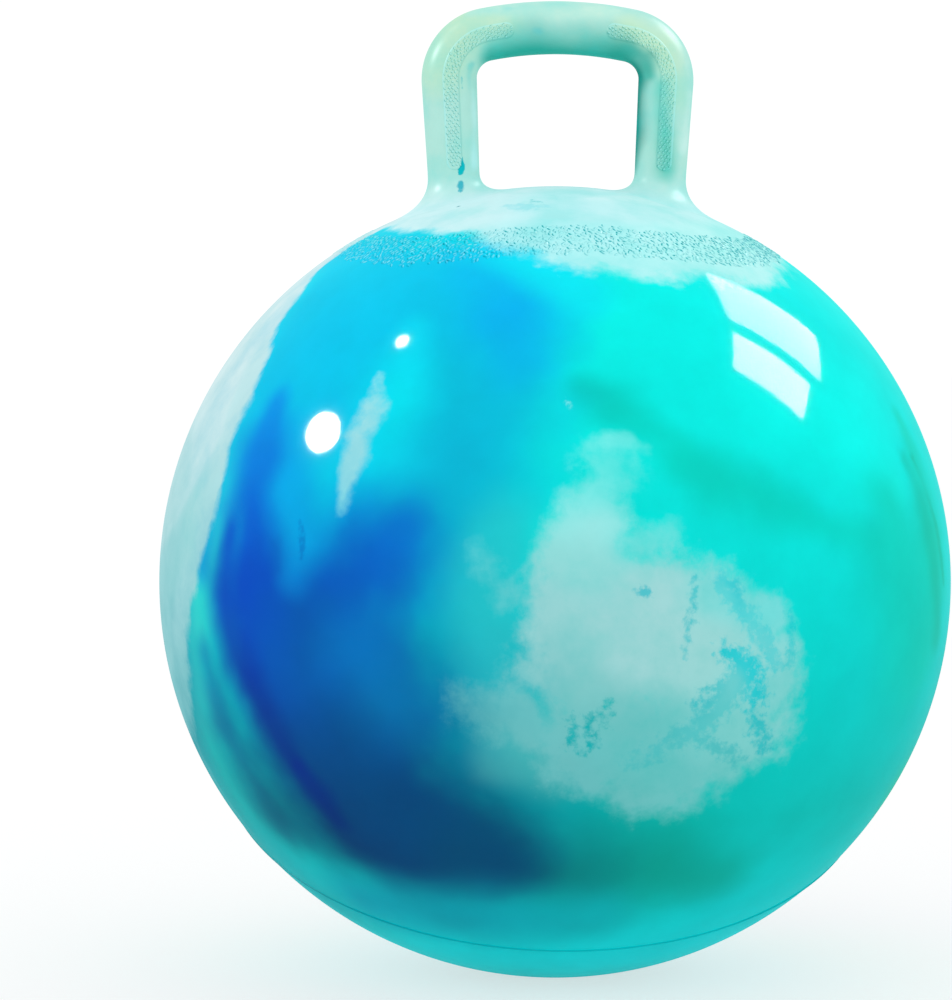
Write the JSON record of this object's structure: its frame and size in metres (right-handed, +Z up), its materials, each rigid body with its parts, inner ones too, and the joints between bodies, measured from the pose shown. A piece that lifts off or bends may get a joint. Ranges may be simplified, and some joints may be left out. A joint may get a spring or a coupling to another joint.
{
  "type": "hopper ball",
  "caption": "Inflated vinyl hopper ball with a hollow D handle moulded on its top, a floor flat, a bonded valve seat and a push-in plug.",
  "frame": {"origin": "middle of the flat that the ball presses on the floor", "axes": "+Z up through the handle, X along the handle's bar, -Y the side that the picture shows, +Y the side with the valve"},
  "size_m": [0.4571, 0.4572, 0.5615],
  "materials": {
    "marbled_vinyl": "glossy marbled vinyl",
    "pale_vinyl": "glossy pale mint vinyl",
    "seat_vinyl": "soft satin vinyl",
    "plug_plastic": "smooth moulded plastic"
  },
  "bodies": {
    "ball": {"ball_shell": "marbled_vinyl", "handle": "pale_vinyl", "valve_seat": "seat_vinyl"},
    "plug": {"valve_plug": "plug_plastic"}
  },
  "joints": [
    {"name": "plug_pull", "type": "slide", "parent": "ball", "child": "plug", "axis": [0, 0.9063, 0.4226], "range_m": [0, 0.03]}
  ]
}
